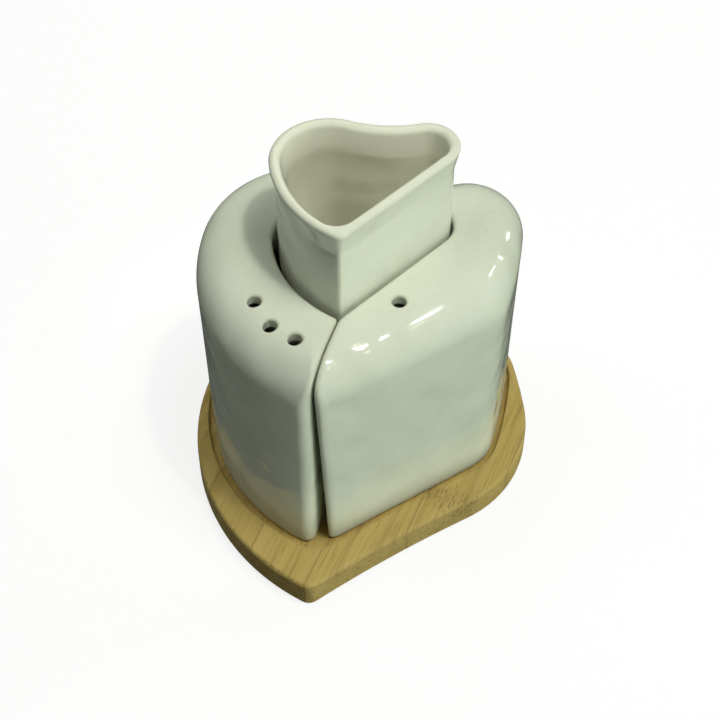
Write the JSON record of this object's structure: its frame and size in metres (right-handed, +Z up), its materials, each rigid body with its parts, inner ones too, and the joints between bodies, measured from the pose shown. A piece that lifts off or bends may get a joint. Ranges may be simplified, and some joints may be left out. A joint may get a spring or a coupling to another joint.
{
  "type": "salt and pepper set",
  "caption": "Heart-shaped ceramic salt and pepper shakers with a central toothpick cup, standing in the recess of a bamboo tray.",
  "frame": {"origin": "centre of the tray's bounding box, on the underside that rests on the table", "axes": "+Z up, the point of the heart towards -Y, the single-hole shaker on the +X side"},
  "size_m": [0.1088, 0.1132, 0.1224],
  "materials": {
    "bamboo": "satin lacquered bamboo",
    "glaze": "glossy ivory glaze with a faint green cast",
    "silicone": "matt translucent silicone"
  },
  "bodies": {
    "tray": {"bamboo_tray": "bamboo"},
    "salt": {"salt_shaker": "glaze"},
    "pepper": {"pepper_shaker": "glaze"},
    "cup": {"toothpick_cup": "glaze"},
    "salt_plug": {"salt_stopper": "silicone"},
    "pepper_plug": {"pepper_stopper": "silicone"}
  },
  "joints": [
    {"name": "salt_shaker_lift", "type": "slide", "parent": "tray", "child": "salt", "axis": [0, 0, 1], "range_m": [0, 0.02]},
    {"name": "pepper_shaker_lift", "type": "slide", "parent": "tray", "child": "pepper", "axis": [0, 0, 1], "range_m": [0, 0.02]},
    {"name": "cup_lift", "type": "slide", "parent": "tray", "child": "cup", "axis": [0, 0, 1], "range_m": [0, 0.12]},
    {"name": "salt_stopper_pull", "type": "slide", "parent": "salt", "child": "salt_plug", "axis": [0, 0, -1], "range_m": [0, 0.016]},
    {"name": "pepper_stopper_pull", "type": "slide", "parent": "pepper", "child": "pepper_plug", "axis": [0, 0, -1], "range_m": [0, 0.016]}
  ],
  "couplings": [
    {"joint": "salt_stopper_pull", "follows": "salt_shaker_lift", "ratio": 0.75},
    {"joint": "pepper_stopper_pull", "follows": "pepper_shaker_lift", "ratio": 0.75}
  ]
}
